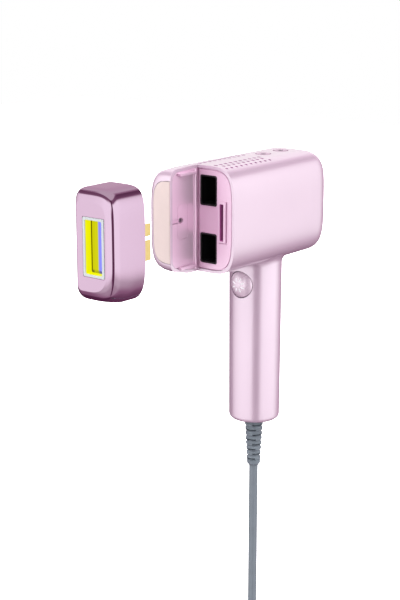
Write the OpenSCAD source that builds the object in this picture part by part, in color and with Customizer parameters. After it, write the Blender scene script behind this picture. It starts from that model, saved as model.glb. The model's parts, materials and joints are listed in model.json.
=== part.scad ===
// Hand-held light hair remover, shaped like a small dryer, with its lamp cartridge drawn out.
// Origin: middle of the handle. +Z runs up the handle, -Y faces the skin, +X is the cartridge side.

/* [Head] */
// Width of the head across X
head_w = 47.5; // [46.5:0.5:48.5]
// Height of the head along Z
head_h = 67.6; // [67:0.2:69]
// Distance from the handle axis to the front face
head_front = 80.7; // [80.2:0.1:81.2]
// Distance from the handle axis to the rear face
head_rear = 53.4; // [52.4:0.2:56]
// Squareness of the head's cross-section (higher is squarer)
squareness = 4.4; // [4.2:0.1:5]
// Thickness of the outer shells
wall = 1.8; // [1.6:0.1:2]

/* [Bay] */
// Distance from the front face back to the rim of the bay
bay_depth = 26; // [25.8:0.1:26.2]
// Distance of the bay's side wall from the middle plane
bay_side = 5.3; // [5.2:0.1:5.4]
// Radius of each top vent hole
vent_r = 0.85; // [0.7:0.05:1]
// Spacing of the vent holes along the head
vent_pitch = 4.98; // [4.6:0.02:5]

/* [Cartridge] */
// How far the cartridge is drawn out of its bay
draw_out = 83.1; // [60:0.1:84]
// Depth of the cartridge along Y
cartridge_depth = 27; // [26.8:0.1:27.4]
// Width of the light window's white frame
window_w = 15.9; // [15.5:0.1:16.2]
// Height of the light window's white frame
window_h = 34.1; // [33:0.1:35]

/* [Handle] */
// Length of the handle below the grip's middle
grip_below = 55; // [55:0.5:57]
// Length of the handle above the grip's middle, up to the head
grip_above = 55.5; // [55.5:0.1:55.8]
// Radius of the handle under the head
handle_r_top = 17.4; // [17.2:0.1:17.6]
// Radius of the handle at its lower end
handle_r_low = 17; // [16.8:0.1:17.1]

/* [Controls] */
// Radius of the trigger button
trigger_r = 8.6; // [8.2:0.1:8.8]
// Travel of the trigger button
trigger_travel = 1.2; // [0.8:0.1:1.2]
// Radius of each top button
button_r = 4.65; // [4.4:0.05:4.8]
// Distance between the two top buttons
button_gap = 19.3; // [18:0.1:20]

/* [Cord] */
// Diameter of the cord
cord_d = 6.1; // [5.8:0.1:6.2]
// Bend radius at the folds of the hank
fold_r = 18.5; // [18.4:0.1:19]
// Length of the hank's straight runs
run_length = 97; // [92:1:100]

/* [Hidden] */

$fn = 48;
outline_steps = 72;             // points round the head's cross-section
cut = 1;                        // how far a cutter runs past the face it opens
gap = 0.1;                      // gap between pieces that are fixed together
pink = [0.89, 0.74, 0.85];
pale_pink = [0.95, 0.84, 0.92];
gold = [0.90, 0.77, 0.45];
black = [0.05, 0.05, 0.05];
grey = [0.45, 0.50, 0.55];
steel = [0.75, 0.75, 0.78];
board_green = [0.10, 0.38, 0.22];

head_z = grip_above + head_h / 2;           // height of the head's middle
half_w = head_w / 2;
half_h = head_h / 2;
front_y = -head_front;
rear_y = head_rear;
rim_y = front_y + bay_depth;                // plane of the bay's rim
bay_x = -bay_side;
rear_round = 14;                            // corner radius of the head's rear in plan
rear_round_top = 17.5;                      // corner radius of the head's rear, at the top
rear_round_low = 12;                        // corner radius of the head's rear, at the bottom
front_round = 3;                            // corner radius at the front of the far block
taper_far = 0.9;                            // how much the far side draws in at the front
taper_top = 0.7;                            // the same for the top
taper_low = 3.2;                            // the same for the bottom
taper_run = 18;                             // how far back from the front the drawing in starts

plate_half_w = 18.9;
plate_half_h = 25.6;
plate_z = 0.6;                              // height of the plate's middle over the head's middle
plate_edge_x = -5.9;
plate_squareness = 5;

frame_y = rim_y + 0.6;                      // front face of the bay frame
frame_t = 2.1;
mouth_x0 = -3.4;                            // the two black air mouths
mouth_x1 = 9.7;
mouth_low = 8.7;
mouth_high = 27.8;
slot_x0 = 12.6;                             // the socket's slot
slot_x1 = 15.0;
slot_z0 = -12.2;
slot_z1 = 10.6;
slot_end_y = -38.2;

rail_y0 = front_y + 7.5;
rail_y1 = front_y + 22.8;
rail_out = 2;                               // how far a rail stands out of the bay wall
rail_t = 1.7;
rail_top_z = 28.7;
rail_low_z = -30.1;
catch_y = -69.9;                            // catch hole of the bay wall
catch_z = 0.85;
catch_r = 1.6;

fan_y = -19.5;
fan_z = 12.5;
fan_side = 35;
fan_t = 10;
fan_bore = 16.2;

trigger_z = 40;
trigger_face_y = -19.6;
switch_tip_y = -6.4;                        // tip of the switch under the trigger
button_y0 = 7.2;

cart_front = rim_y - 0.2 - cartridge_depth; // front face of the seated cartridge
cart_rear = rim_y - 0.2;
cart_x = -4.75;                             // side of the cartridge that slides along the bay wall
cart_wall = 1.6;
cart_half_w = half_w + 0.2;                 // the cartridge stands a little proud of the head
cart_top = half_h + 0.7;
cart_low = half_h - 0.5;
cart_squareness_top = 6;
cart_round_top = 6;
cart_round_low = 5;
window_x = 9.15;
window_z = 1.65;
tube_y = -69.6;
tab_x = 14.1;
tab_tip_y = -39.2;

cord_r = cord_d / 2;
relief_end = -grip_below - 34.7;            // lower end of the strain relief
relief_r = 6.1;
relief_turn = 39;                           // turn of the relief's slots about the handle's axis
relief_pitch = 3.5;                         // distance between neighbouring slots
hank_top = -212;                            // highest point of the hank's centre line
hank_pitch = 6.3;                           // distance between neighbouring turns
hank_turns = 4;
hank_axis_z = hank_top - fold_r;            // centre of the upper folds
hank_low_z = hank_axis_z - run_length;      // centre of the lower folds
tail_y = hank_turns * hank_pitch;
adapter_top = -377;
tail_end = adapter_top + 14;                // where the tail enters the adapter's relief
tie_top = -263;
tie_h = 14;

// Round numbers chosen by hand: the cord hangs straight, then enters the hank.
cord_route = [[0, 0, relief_end], [0, 0, -96], [0, 0, -103], [0, 0, -110], [0, 0, -118], [0, 0, -126],
    [0, 0, -134], [0, 0, -142], [0, 0, -150], [0, 0, -158], [0, 0, -166], [0, 0, -174],
    [0, 0, -182], [0, 0, -190], [0, 0, -198], [0, 0, -206], [0, 0, -215], [0, 0, -225]];
// The tail leaves the last run of the hank and goes down into the adapter.
tail_route = [[0, tail_y, -333], [0, tail_y, -341], [0, tail_y, -349], [0, tail_y, -356], [0, tail_y, tail_end]];

// ---------- helpers ----------
function spow(v, e) = sign(v) * pow(abs(v), e);
function oval(a, b, n, steps) = [for (i = [0 : steps - 1])
    let (t = i * 360 / steps) [a * spow(cos(t), 2 / n), b * spow(sin(t), 2 / n)]];
function arc(cx, cy, r, from, to, steps) = [for (i = [0 : steps])
    let (t = from + (to - from) * i / steps) [cx + r * cos(t), cy + r * sin(t)]];
// Rounded rectangle: r0 at the corners of low y, r1 at the corners of high y.
function soft_box(x0, x1, y0, y1, r0, r1) = concat(
    arc(x1 - r1, y1 - r1, r1, 0, 90, 8), arc(x0 + r1, y1 - r1, r1, 90, 180, 8),
    arc(x0 + r0, y0 + r0, r0, 180, 270, 8), arc(x1 - r0, y0 + r0, r0, 270, 360, 8));

module along_y(y0, y1) translate([0, y1, 0]) rotate([90, 0, 0]) linear_extrude(y1 - y0) children();
module along_x(x0, x1) translate([x0, 0, 0]) rotate([90, 0, 90]) linear_extrude(x1 - x0) children();
module along_z(z0, z1) translate([0, 0, z0]) linear_extrude(z1 - z0) children();
module box(low, high) translate(low) cube(high - low);
module at_head() translate([0, 0, head_z]) children();
module drawn() translate([0, -draw_out, head_z]) children();
module peg(from, r, length, axis) translate(from)
    rotate(axis == "x" ? [0, 90, 0] : axis == "y" ? [-90, 0, 0] : [0, 0, 0]) cylinder(r = r, h = length);
module ring(outer, inner, z0, z1) difference() {
    along_z(z0, z1) circle(outer);
    along_z(z0 - cut, z1 + cut) circle(inner);
}
// Straight rod between two points, with a slightly larger ball at its start.
module rod(p, q, r) {
    v = q - p;
    translate(p) rotate([0, acos(v.z / norm(v)), atan2(v.y, v.x)]) cylinder(r = r, h = norm(v), $fn = 16);
    translate(p) sphere(1.08 * r, $fn = 16);
}
module wire(points, r) for (i = [0 : len(points) - 2]) rod(points[i], points[i + 1], r);
module outline(inset) polygon(oval(half_w - inset, half_h - inset, squareness, outline_steps));

// Ring of points round p for a tube that runs straight down.
function tube_ring(p, r, sides) = [for (k = [0 : sides - 1])
    [p.x + r * cos(k * 360 / sides), p.y + r * sin(k * 360 / sides), p.z]];
module tube_down(route, r, sides) {
    rings = [for (p = route) each tube_ring(p, r, sides)];
    last = (len(route) - 1) * sides;
    sides_faces = [for (i = [0 : len(route) - 2]) for (k = [0 : sides - 1]) let (n = (k + 1) % sides)
        [i * sides + k, i * sides + n, (i + 1) * sides + n, (i + 1) * sides + k]];
    polyhedron(rings, concat(sides_faces, [[for (k = [0 : sides - 1]) sides - 1 - k]],
        [[for (k = [0 : sides - 1]) last + k]]));
}

// ---------- head ----------
// Head seen from above: the far side draws in towards the front.
module head_plan(d) polygon(concat(
    arc(half_w - rear_round, rear_y - rear_round, rear_round - d, 0, 90, 12),
    arc(-half_w + rear_round, rear_y - rear_round, rear_round - d, 90, 180, 12),
    [[-half_w + d, front_y + taper_run]],
    arc(-half_w + taper_far + front_round, front_y + front_round, front_round - d / 2, 180, 270, 8),
    [[half_w - d, front_y + d / 2]]));
// Head seen from the side, as (y, z): top and bottom draw in towards the front.
module head_side(d) polygon(concat(
    arc(rear_y - rear_round_top, half_h - rear_round_top, rear_round_top - d, 0, 90, 12),
    [[front_y + taper_run, half_h - d]],
    arc(front_y + front_round, half_h - taper_top - front_round, front_round - d / 2, 90, 180, 8),
    arc(front_y + front_round, -half_h + taper_low + front_round, front_round - d / 2, 180, 270, 8),
    [[front_y + taper_run, -half_h + d]],
    arc(rear_y - rear_round_low, -half_h + rear_round_low, rear_round_low - d, 270, 360, 12)));
// Solid form of the head, pulled in by d on every side.
module head_form(d) intersection() {
    along_y(front_y + d, rear_y - d) outline(d);
    along_z(-half_h, half_h) head_plan(d);
    along_x(-half_w, half_w) head_side(d);
}

module bay_space() box([bay_x, front_y - cut, -head_h], [head_w, rim_y, head_h]);

module vents() for (side = [-1, 1]) for (row = [0 : 2]) for (i = [0 : row == 1 ? 8 : 9])
    translate([side * (6.3 + 4.25 * row), -50.9 + vent_pitch * (i + (row == 1 ? 0.5 : 0)), 26])
        cylinder(r = vent_r, h = 12, $fn = 16);

module plate_outline(d) intersection() {
    translate([0, plate_z]) polygon(oval(plate_half_w + d, plate_half_h + d, plate_squareness, outline_steps));
    translate([-head_w, -head_h]) square([head_w + plate_edge_x + d, 2 * head_h]);
}

module head_shell() color(pink) at_head() difference() {
    head_form(0);
    head_form(wall);
    bay_space();
    along_y(front_y - cut, front_y + wall + cut) plate_outline(0.1);
    box([plate_edge_x - gap, front_y - cut, plate_z - plate_half_h],
        [bay_x + cut, front_y + wall + cut, plate_z + plate_half_h]);
    vents();
    for (y = [button_y0, button_y0 + button_gap]) translate([0, y, 20]) cylinder(r = button_r + 0.45, h = 20);
    along_z(-half_h - cut, -half_h + 4) circle(14.9);
}

module neck_collar() color(steel) at_head() difference() {
    union() {
        intersection() {
            ring(17.5, 13, -half_h + wall + gap, -half_h + wall + 1.6);
            head_form(wall + gap);
        }
        ring(14.8, 13, -38.3, -half_h + wall + 0.5);
    }
    for (a = [45 : 90 : 315]) rotate(a) translate([15.9, 0, -40]) cylinder(r = 0.6, h = 20, $fn = 16);
}

module bay_wall() color(pale_pink) at_head() difference() {
    union() {
        intersection() {
            head_form(wall + gap);
            box([bay_x - 1.7, front_y, -head_h], [bay_x, rim_y + 2.7, head_h]);
        }
        box([bay_x - 0.5, front_y, plate_z - plate_half_h + gap],
            [bay_x, front_y + wall + gap, plate_z + plate_half_h - gap]);
        for (z = [rail_low_z, rail_top_z]) box([bay_x - 0.5, rail_y0, z], [bay_x + rail_out, rail_y1, z + rail_t]);
        intersection() {
            translate([bay_x - 0.8, rim_y - 1.95, -30]) cylinder(r = 1.05, h = 60);
            along_y(front_y + wall, rim_y) outline(wall + gap);
        }
    }
    box([bay_x - 1.1, front_y - cut, catch_z - catch_r], [bay_x + cut, catch_y, catch_z + catch_r]);
    peg([bay_x - 4, catch_y, catch_z], catch_r, 8, "x");
}

module bay_frame() color(pale_pink) at_head() difference() {
    union() {
        intersection() {
            along_y(frame_y, frame_y + frame_t) outline(wall + 0.9);
            box([bay_x + 1, frame_y, -head_h], [head_w, 0, head_h]);
        }
        intersection() {
            along_y(frame_y + 0.9, frame_y + frame_t) outline(wall + gap);
            box([bay_x + gap, frame_y, -head_h], [head_w, 0, head_h]);
        }
        box([11.6, frame_y - 0.5, -12.7], [18.5, frame_y + cut, 12.3]);
    }
    for (m = [0, 1]) mirror([0, 0, m])
        along_y(frame_y - cut, frame_y + 5)
            polygon(soft_box(mouth_x0 - gap, mouth_x1 + gap, mouth_low - gap, mouth_high + gap, 1.3, 1.3));
    box([mouth_x0, frame_y - cut, -mouth_low], [11, frame_y + 0.7, mouth_low]);
    box([slot_x0, frame_y - 2, slot_z0], [slot_x1, 0, slot_z1]);
}

module cooling_plate() color([0.90, 0.84, 0.81]) at_head() along_y(front_y - 0.2, front_y + 1.4) plate_outline(0);

module plate_gasket() color(black) at_head() difference() {
    along_y(front_y + 1.4, front_y + wall) plate_outline(0);
    box([-17.1, front_y, plate_z - 20.7], [-7.2, front_y + 5, plate_z + 20.7]);
}

module cooler_module() color([0.93, 0.93, 0.9]) at_head() {
    box([-17, front_y + 1.4, plate_z - 20.5], [-7.4, front_y + 2.2, plate_z + 20.5]);
    box([-16.6, front_y + 2.2, plate_z - 20.1], [-7.8, front_y + 4.2, plate_z + 20.1]);
    box([-17, front_y + 4.2, plate_z - 20.5], [-7.4, front_y + 5, plate_z + 20.5]);
}

module heat_sink() color(steel) at_head() {
    box([-19.8, front_y + 5, -22.5], [-7.4, front_y + 7.6, 23.5]);
    for (i = [0 : 5]) box([-19.8 + 2.28 * i, front_y + 7.6, -22.5], [-18.8 + 2.28 * i, front_y + 31, 23.5]);
}

module duct_body(d) {
    for (m = [0, 1]) mirror([0, 0, m])
        along_y(frame_y + 0.1 - (d > 0 ? cut : 0), -45)
            polygon(soft_box(mouth_x0 + d, mouth_x1 - d, mouth_low + d, mouth_high - d, 1.2, 1.2));
    box([mouth_x0 + d, -46 + d, -mouth_high + d], [mouth_x1 - d, -38 - d, mouth_high - d]);
    box([mouth_x0 + d, -40, 0.5 + d], [mouth_x1 - d, -34, fan_z - 0.2 - d]);
    box([-14 + d, -35.5 + d, 0.5 + d], [14 - d, -2.5 - d, fan_z - 0.2 - d]);
}

module air_duct() color(black) at_head() difference() {
    union() {
        duct_body(0);
        box([-fan_side / 2, fan_y - fan_side / 2, fan_z - 1.2], [fan_side / 2, fan_y + fan_side / 2, fan_z - 0.1]);
    }
    duct_body(0.9);
    translate([0, fan_y, 3]) cylinder(r = 13, h = 12);
    for (x = [-14.7, 14.7]) for (y = [-14.7, 14.7]) translate([x, fan_y + y, 8]) cylinder(r = 1.05, h = 8, $fn = 24);
}

module fan_housing() color([0.15, 0.15, 0.16]) at_head() translate([0, fan_y, fan_z]) difference() {
    union() {
        difference() {
            along_z(0, fan_t) polygon(soft_box(-fan_side / 2, fan_side / 2, -fan_side / 2, fan_side / 2, 2.5, 2.5));
            translate([0, 0, -cut]) cylinder(r = fan_bore, h = fan_t + 2);
        }
        cylinder(r = 5.5, h = 1.4);
        cylinder(r = 2.4, h = 4.4);
        for (a = [0 : 90 : 270]) rotate(a) box([4, -0.8, 0], [fan_bore + 0.5, 0.8, 1.4]);
    }
    translate([0, 0, 0.6]) cylinder(r = 1.05, h = 8);
    for (x = [-14.7, 14.7]) for (y = [-14.7, 14.7]) translate([x, y, -cut]) cylinder(r = 1.25, h = 12, $fn = 24);
}

module fan_screws() color(steel) at_head()
    for (x = [-14.7, 14.7]) for (y = [-14.7, 14.7]) translate([x, fan_y + y, fan_z - 3]) {
        cylinder(r = 1, h = fan_t + 3.2, $fn = 24);
        translate([0, 0, fan_t + 3.1]) cylinder(r = 2, h = 1.3, $fn = 24);
    }

module fan_rotor() color([0.2, 0.2, 0.22]) at_head() translate([0, fan_y, fan_z]) {
    translate([0, 0, 0.8]) cylinder(r = 1, h = 7);
    difference() {
        translate([0, 0, 2]) cylinder(r = 6.6, h = 7.2);
        translate([0, 0, 1]) cylinder(r = 5.4, h = 6.4);
    }
    for (a = [0 : 360 / 7 : 359]) rotate(a) translate([6, 0, 5.6]) rotate([38, 0, 0]) box([0, -0.4, -4], [9.4, 0.4, 4]);
}

module vent_screen() color([0.12, 0.10, 0.12]) at_head() intersection() {
    difference() {
        head_form(wall + gap);
        head_form(wall + 0.7);
    }
    box([-17, -51.9, 24], [17, -2.2, 40]);
}

// ---------- electrical pieces of the head ----------
module contact_leaves() for (zone = [[-11.9, 0.2], [2.6, 9.9]]) {
    box([slot_x0 + 0.1, -50, zone[0]], [slot_x0 + 0.6, -35.7, zone[1]]);
    box([slot_x1 - 0.15, -50, zone[0]], [slot_x1 - 0.05, -38.3, zone[1]]);
}
module socket_contacts() color(gold) at_head() contact_leaves();
module socket_housing() color([0.42, 0.24, 0.38]) at_head() difference() {
    box([11.2, frame_y + frame_t, -14], [17.8, slot_end_y + 2, 11.2]);
    box([slot_x0, frame_y, slot_z0], [slot_x1, slot_end_y, slot_z1]);
    contact_leaves();
}

module main_board() color(board_green) at_head() difference() {
    box([-10, 2, -24], [-8.4, 46, 22]);
    for (y = [5, 43]) for (z = [-21, 19]) peg([-12, y, z], 1.2, 6, "x");
}

module charge_transformer() color([0.16, 0.16, 0.17]) at_head() {
    difference() {
        box([-8.3, 22, -21], [7, 40, -5]);
        box([-3.5, 21, -18], [2.5, 41, -8]);
    }
    peg([-0.5, 22.6, -13], 4.6, 16.8, "y");
}

module trigger_coil() color([0.55, 0.30, 0.14]) at_head() {
    peg([-3.2, 12, -20], 5, 14, "z");
    peg([-3.2, 12, -21.2], 2, 16.4, "z");
}

module button_board() color(board_green) at_head() difference() {
    box([-10, -1.2, 25.5], [10, 37, 27.1]);
    for (x = [-7.6, 7.6]) for (y = [2, 34]) translate([x, y, 20]) cylinder(r = 1.2, h = 12, $fn = 24);
}

module button_switches() color(steel) at_head() for (y = [button_y0, button_y0 + button_gap]) {
    box([-3, y - 3, 27.1], [3, y + 3, 28.4]);
    translate([0, y, 28.4]) cylinder(r = 1.5, h = 0.5);
}

// Round button in the head's top, with a flange inside the shell and a stem to its switch.
module top_button(y) at_head() translate([0, y, 0]) {
    translate([0, 0, half_h - 3.4]) cylinder(r = button_r, h = 3.4);
    intersection() {
        translate([0, 0, half_h]) cylinder(r = button_r, h = 0.4);
        translate([0, 0, half_h + 0.35 - 40]) sphere(40, $fn = 96);
    }
    translate([0, 0, half_h - 3.6]) cylinder(r = 6.1, h = 1);
    translate([0, 0, half_h - 4.2]) cylinder(r = 1.3, h = 1);
}
module mode_button() color(pink) top_button(button_y0);
module level_button() color(pink) top_button(button_y0 + button_gap);

module board_screws() color(steel) at_head() {
    for (y = [5, 43]) for (z = [-21, 19]) {
        peg([-8.4, y, z], 2, 1.2, "x");
        peg([-11.5, y, z], 1, 3.5, "x");
    }
    for (x = [-7.6, 7.6]) for (y = [2, 34]) {
        translate([x, y, 27.1]) cylinder(r = 1.9, h = 1.1, $fn = 24);
        translate([x, y, 23.5]) cylinder(r = 1, h = 4, $fn = 24);
    }
}

// ---------- handle ----------
function handle_r(z) = handle_r_low + (handle_r_top - handle_r_low) * (z + grip_below) / (grip_below + grip_above);
edge_round = 3.2;
module handle_shell() color(pink) difference() {
    union() {
        difference() {
            rotate_extrude($fn = 96) polygon(concat(
                arc(handle_r_low - edge_round, -grip_below + edge_round, edge_round, -90, 0, 8),
                [[handle_r(58.8), 58.8], [handle_r(58.8) - 2, 58.8], [handle_r_low - 2, -grip_below + 4],
                [13.6, -grip_below + 3.2], [13.2, -grip_below]]));
            at_head() head_form(0);
        }
        for (m = [0, 1]) mirror([m, 0, 0]) intersection() {
            box([9.4, -1, 26], [16, 1, 51]);
            cylinder(r = 15.4, h = 60);
        }
    }
    peg([0, -30, trigger_z], trigger_r + 0.4, 24, "y");
}

module handle_end_cap() color(pink) difference() {
    translate([0, 0, -grip_below]) cylinder(r = 13.1, h = 2.6);
    translate([0, 0, -grip_below - cut]) cylinder(r = relief_r + gap, h = 6);
}

module flash_capacitor() color([0.12, 0.12, 0.3]) {
    translate([0, 0, -36]) cylinder(r = 11.3, h = 44);
    for (x = [-3.5, 3.5]) translate([x, 0, 7]) cylinder(r = 0.5, h = 5, $fn = 16);
}

module capacitor_cradle() color([0.2, 0.2, 0.2]) difference() {
    union() {
        ring(14.3, 11.4, -34, -28);
        ring(14.3, 11.4, -2, 4);
        box([-3, -14.1, -30], [3, -11.5, 0]);
    }
    box([-4, 0, -40], [4, 20, 20]);
}

module trigger_board() color(board_green) difference() {
    box([-10, -2.6, 28], [10, -1.0, 52]);
    for (z = [31, 49]) peg([0, -4, z], 1.2, 5, "y");
}

module trigger_switch() color(steel) {
    box([-3, -5.4, trigger_z - 3], [3, -2.6, trigger_z + 3]);
    peg([0, switch_tip_y, trigger_z], 1.7, 1.1, "y");
}

module trigger_spring() color(steel) for (i = [0 : 4])
    translate([0, -9.3 + 1.3 * i, trigger_z]) rotate([90, 0, 0])
        rotate_extrude() translate([5.2, 0]) circle(0.35, $fn = 16);

module petals(grow) for (a = [22.5 : 45 : 359]) rotate(a) {
    translate([2.6, -0.5 - grow]) square([2, 1 + 2 * grow]);
    for (x = [2.6, 4.6]) translate([x, 0]) circle(0.5 + grow, $fn = 24);
}
module dome(grow) translate([0, trigger_face_y + 13.15, trigger_z]) sphere(13.15 + grow, $fn = 96);
module petal_prisms() translate([0, 0, trigger_z]) along_y(-22, -17.4) petals(0);

module trigger_button() color(pink) {
    difference() {
        intersection() {
            peg([0, -22, trigger_z], trigger_r, 12.3, "y");
            dome(0);
        }
        petal_prisms();
    }
    peg([0, -10.9, trigger_z], 9.5, 1.2, "y");
    peg([0, -10, trigger_z], 2.6, switch_tip_y + 10 - trigger_travel - gap, "y");
}
module trigger_light_guide() color("white") intersection() {
    petal_prisms();
    dome(0);
}

module internal_wires() color([0.75, 0.12, 0.12]) for (x = [-1.6, 1.6])
    wire([[x, 2, -45], [x, 13, -40], [x, 13, 20], [x, 6, 34], [x, 6, 54], [x - 5, 8, 68]], 0.9);

module cord_clamp() color([0.2, 0.2, 0.2]) difference() {
    box([-9, -4, -50], [9, 4, -46.2]);
    translate([0, 0, -51]) cylinder(r = 1.6, h = 8);
}

// Slot half way round the relief, open to -X or +X, that leaves the core round the cord.
module relief_slot(z, side) difference() {
    box([side > 0 ? 0 : -8, -8, z - 0.5], [side > 0 ? 8 : 0, 8, z + 0.5]);
    translate([0, 0, z - 1]) cylinder(r = 3.3, h = 2);
}
module strain_relief() color(grey) difference() {
    rotate_extrude($fn = 64) polygon([[0, -50.1], [8, -50.1], [8, -52.3], [relief_r, -52.3],
        [relief_r, -grip_below - 5], [5.2, relief_end + 18], [4.5, relief_end + 5.3], [4, relief_end + 1.2],
        [3.6, relief_end], [0, relief_end]]);
    rotate(relief_turn) for (i = [0 : 8]) relief_slot(-grip_below - 1.6 - relief_pitch * i, i % 2);
}

// ---------- cartridge, drawn at its seat and then drawn out ----------
// The cartridge's section: squarer at the top than at the bottom.
module cart_outline(d) union() {
    intersection() {
        polygon(oval(cart_half_w - d, cart_top - d, cart_squareness_top, outline_steps));
        translate([-head_w, 0]) square([2 * head_w, head_h]);
    }
    intersection() {
        polygon(oval(cart_half_w - d, cart_low - d, squareness, outline_steps));
        translate([-head_w, -head_h]) square([2 * head_w, head_h + 0.01]);
    }
}
module cart_side(d) polygon(concat([[cart_rear, cart_top - d]],
    arc(cart_front + cart_round_top, cart_top - cart_round_top, cart_round_top - d, 90, 180, 8),
    arc(cart_front + cart_round_low, -cart_low + taper_low + cart_round_low, cart_round_low - d, 180, 270, 8),
    [[front_y + taper_run, -cart_low + d], [cart_rear, -cart_low + d]]));
module cartridge_form(d, x_side) intersection() {
    along_y(cart_front + d, cart_rear) cart_outline(d);
    box([x_side, cart_front, -head_h], [head_w, cart_rear, head_h]);
    along_z(-head_h, head_h) polygon(soft_box(x_side, cart_half_w - d, cart_front + d, cart_rear + 8, 3.2, 0.1));
    along_x(-head_w, head_w) cart_side(d);
}
module window_hole(w, h, y0, y1) along_y(y0, y1)
    translate([window_x, window_z]) polygon(soft_box(-w / 2, w / 2, -h / 2, h / 2, 1, 1));

// One straight peg along Y at each of the four screws that hold the cartridge's back.
module screw_places(from_y, r, length) for (z = [-28, 28]) for (x = [2, 13.5]) peg([x, from_y, z], r, length, "y");

module cartridge_shell() color(pink) drawn() difference() {
    cartridge_form(0, cart_x);
    difference() {
        intersection() {
            cartridge_form(cart_wall, cart_x + 3);
            box([-head_w, cart_front + 2.2, -head_h], [head_w, cart_rear, head_h]);
        }
        screw_places(cart_front, 2.6, cartridge_depth - 2.2);
    }
    intersection() {
        cartridge_form(cart_wall, cart_x + 3);
        box([-head_w, cart_rear - cut, -head_h], [head_w, cart_rear + cut, head_h]);
    }
    along_y(cart_rear - 0.1, cart_rear + cut) intersection() {
        cart_outline(cart_wall);
        translate([cart_x + 3, -head_h]) square([head_w, 2 * head_h]);
    }
    window_hole(window_w + 0.1, window_h + 0.1, cart_front - cut, cart_front + 0.4);
    window_hole(14.3, 32.7, cart_front - cut, cart_front + 4);
    for (z = [rail_low_z, rail_top_z])
        box([cart_x - cut, rail_y0 - 1.4, z - 0.4], [bay_x + rail_out + 0.4, cart_rear + cut, z + rail_t + 0.4]);
    peg([cart_x - cut, catch_y, catch_z], 1.25, 5, "x");
    screw_places(cart_rear - 12, 0.9, 14);
}

module cartridge_back() color(black) drawn() difference() {
    along_y(cart_rear - 2.2, cart_rear - 0.4) intersection() {
        cart_outline(cart_wall + gap);
        translate([cart_x + 3 + gap, -head_h]) square([head_w, 2 * head_h]);
    }
    for (m = [0, 1]) mirror([0, 0, m])
        along_y(cart_rear - 5, cart_rear + 1) polygon(soft_box(-0.4, 8.8, 9.6, 22.6, 1, 1));
    box([11.1, cart_rear - 4, -13.6], [17.1, cart_rear + 1, 12]);
    screw_places(cart_rear - 6, 1.15, 8);
}

module window_bezel() color([0.93, 0.95, 0.96]) drawn() difference() {
    window_hole(window_w, window_h, cart_front - 0.3, cart_front + 0.4);
    window_hole(12.6, 31.1, cart_front - cut, cart_front + 2);
}

module light_guide() color([1, 1, 0]) drawn() difference() {
    window_hole(14.2, 32.6, cart_front + 0.4, cart_front + 5);
    window_hole(12.6, 31.1, cart_front - cut, cart_front + 8);
}

module filter_glass() color([0.8, 0.8, 0.1, 0.8]) drawn() window_hole(14.2, 32.6, cart_front + 5, cart_front + 6.4);

module lamp_reflector() color(gold) drawn() difference() {
    box([2.1, cart_front + 6.4, -16], [16.2, tube_y + 6.8, 19.3]);
    translate([window_x, tube_y, -17]) cylinder(r = 5.4, h = 40);
    box([window_x - 5.4, cart_front + 5, -17], [window_x + 5.4, tube_y, 21]);
}

module flash_tube() color([0.75, 0.85, 0.95, 0.5]) drawn() difference() {
    translate([window_x, tube_y, -20]) cylinder(r = 3.4, h = 43.3);
    translate([window_x, tube_y, -19]) cylinder(r = 2.5, h = 41.3);
    translate([window_x, tube_y, -22]) cylinder(r = 0.9, h = 48);
}

module tube_electrodes() color(steel) drawn() for (m = [0, 1])
    translate([window_x, tube_y, 1.65]) mirror([0, 0, m]) {
        translate([0, 0, 14]) cylinder(r = 0.85, h = 10.6, $fn = 24);
        translate([0, 0, 13]) cylinder(r = 1.7, h = 4, $fn = 24);
    }

module tube_holders() color([0.85, 0.85, 0.82]) drawn() for (z = [-21.4, 20.7]) difference() {
    box([window_x - 5.5, tube_y - 4.6, z], [window_x + 5.5, tube_y + 5.6, z + 4]);
    translate([window_x, tube_y, -21]) cylinder(r = 3.45, h = 45.3);
    translate([window_x, tube_y, -30]) cylinder(r = 1, h = 60, $fn = 24);
}

module ignition_wire() color([0.7, 0.7, 0.7]) drawn() for (i = [0 : 5])
    translate([window_x, tube_y, -13 + 5.6 * i]) rotate_extrude() translate([3.75, 0]) circle(0.3, $fn = 16);

module lamp_leads() color([0.8, 0.1, 0.1]) drawn() {
    wire([[window_x, tube_y, -23.8], [10, -62, -23.8], [10, -61.5, -21], [tab_x, -61.8, -14], [tab_x, -61.8, -6]], 0.7);
    wire([[window_x, tube_y, 27.1], [10, -62, 27.1], [10, -61.5, 24], [tab_x, -61.8, 14], [tab_x, -61.8, 6]], 0.7);
}

module tab_blades() for (zone = [[-11.9, 0.2], [2.6, 9.9]])
    box([tab_x - 0.4, cart_rear - 6, zone[0]], [tab_x + 0.4, tab_tip_y, zone[1]]);
module contact_tabs() color(gold) drawn() tab_blades();
module tab_carrier() color(black) drawn() difference() {
    box([11.2, cart_rear - 5, -13.5], [17, cart_rear - 0.3, 11.9]);
    tab_blades();
}

module cartridge_screws() color(steel) drawn() {
    screw_places(cart_rear - 10, 0.85, 9.7);
    screw_places(cart_rear - 0.4, 1.8, 0.15);
}

module detent_pin() color(steel) drawn() {
    peg([cart_x + 0.35, catch_y, catch_z], 1.2, 3.2, "x");
    translate([cart_x + 0.35, catch_y, catch_z]) sphere(1.2);
    peg([cart_x + 3.05, catch_y, catch_z], 2.1, 0.8, "x");
}
module detent_spring() color(steel) drawn() for (i = [0 : 3])
    translate([-0.6 + 0.8 * i, catch_y, catch_z]) rotate([0, 90, 0])
        rotate_extrude() translate([1.5, 0]) circle(0.25, $fn = 16);

// ---------- cord, hank and adapter ----------
module cord_tube() color(grey) tube_down(cord_route, cord_r, 10);
module cord_tail() color(grey) tube_down(tail_route, cord_r, 10);

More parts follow.
